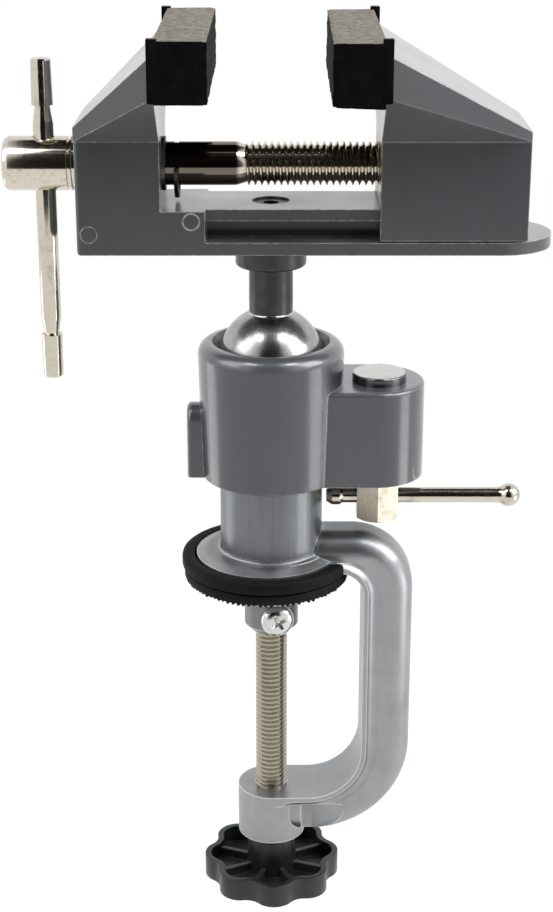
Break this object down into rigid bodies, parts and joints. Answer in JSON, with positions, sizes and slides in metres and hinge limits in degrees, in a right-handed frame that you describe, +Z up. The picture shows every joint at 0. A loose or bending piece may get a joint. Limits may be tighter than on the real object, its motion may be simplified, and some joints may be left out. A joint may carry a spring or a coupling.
{
  "type": "ball vise",
  "caption": "Small bench vise with rubber-faced jaws on a lockable ball joint, over a swivel post and a screw clamp that grips a table edge.",
  "frame": {"origin": "centre of the table face of the upper rubber pad, on the axis of the post and the clamp screw", "axes": "+Z up along the post, +X towards the back of the C frame and the sliding jaw, main screw along X"},
  "size_m": [0.127, 0.06, 0.2211],
  "materials": {
    "cast_aluminium": "satin casting",
    "cast_aluminium_foot": "satin casting",
    "clamp_rubber": "matte",
    "jaw_rubber": "matte",
    "bright_steel": "polished",
    "nickel_steel": "nickel plated",
    "dark_steel": "oiled",
    "knob_plastic": "semi-gloss",
    "grey_enamel": "semi-gloss",
    "grey_casting": "semi-gloss",
    "white_nylon": "natural",
    "ball_chrome": "polished",
    "gunmetal": "turned",
    "nut_brass": "machined"
  },
  "bodies": {
    "bracket": {"c_frame": "cast_aluminium", "upper_pad": "clamp_rubber"},
    "housing": {"housing": "grey_enamel", "clamp_wedge": "dark_steel", "clamp_shoe": "dark_steel", "draw_bolt": "bright_steel"},
    "ball_seat": {"ball_seat": "white_nylon"},
    "ball_stud": {"ball": "ball_chrome", "ball_stem": "gunmetal"},
    "head": {"bed": "grey_casting", "fixed_pad": "jaw_rubber", "stem_screw": "dark_steel", "thrust_washer": "dark_steel"},
    "main_screw": {"main_screw": "nickel_steel", "retaining_ring": "dark_steel"},
    "tommy_bar": {"tommy_bar": "nickel_steel"},
    "sliding_jaw": {"sliding_jaw": "grey_casting", "moving_pad": "jaw_rubber", "jaw_nut": "nut_brass"},
    "lock_nut": {"lock_nut": "nickel_steel"},
    "lock_bar": {"lock_bar": "nickel_steel"},
    "clamp_foot": {"foot_disc": "cast_aluminium_foot", "foot_pad": "clamp_rubber", "foot_screw": "bright_steel"},
    "clamp_spindle": {"clamp_screw": "nickel_steel", "knob": "knob_plastic"}
  },
  "joints": [
    {"name": "housing_swivel", "type": "hinge", "parent": "bracket", "child": "housing", "pos_m": [0, 0, 0.0268], "axis": [0, 0, 1], "continuous": true},
    {"name": "ball_pan", "type": "hinge", "parent": "bracket", "child": "ball_seat", "pos_m": [0, 0, 0.0561], "axis": [0, 0, 1], "continuous": true},
    {"name": "ball_tilt", "type": "hinge", "parent": "ball_seat", "child": "ball_stud", "pos_m": [0, 0, 0.0561], "axis": [1, 0, 0], "range_deg": [-45, 45]},
    {"name": "head_spin", "type": "hinge", "parent": "ball_stud", "child": "head", "pos_m": [0, 0, 0.0842], "axis": [0, 0, 1], "continuous": true},
    {"name": "screw_turn", "type": "hinge", "parent": "head", "child": "main_screw", "pos_m": [-0.025, 0, 0.103], "axis": [1, 0, 0], "range_deg": [-3870, 6220]},
    {"name": "jaw_slide", "type": "slide", "parent": "head", "child": "sliding_jaw", "axis": [1, 0, 0], "range_m": [-0.0259, 0.0161]},
    {"name": "tommy_bar_slide", "type": "slide", "parent": "main_screw", "child": "tommy_bar", "axis": [0, 0, 1], "range_m": [-0.007, 0.0343]},
    {"name": "lock_nut_turn", "type": "hinge", "parent": "housing", "child": "lock_nut", "pos_m": [0.026, 0, 0.0208], "axis": [0, 0, 1], "range_deg": [-140, 140]},
    {"name": "lock_bar_slide", "type": "slide", "parent": "lock_nut", "child": "lock_bar", "axis": [1, 0, 0], "range_m": [-0.0007, 0.0032]},
    {"name": "clamp_screw_turn", "type": "hinge", "parent": "clamp_foot", "child": "clamp_spindle", "pos_m": [0, 0, -0.04], "axis": [0, 0, -1], "range_deg": [0, 12710]},
    {"name": "foot_slide", "type": "slide", "parent": "bracket", "child": "clamp_foot", "axis": [0, 0, -1], "range_m": [0, 0.0441]}
  ],
  "couplings": [
    {"joint": "screw_turn", "follows": "jaw_slide", "rad_per_m": -4188.8},
    {"joint": "clamp_screw_turn", "follows": "foot_slide", "rad_per_m": 5026.5}
  ]
}
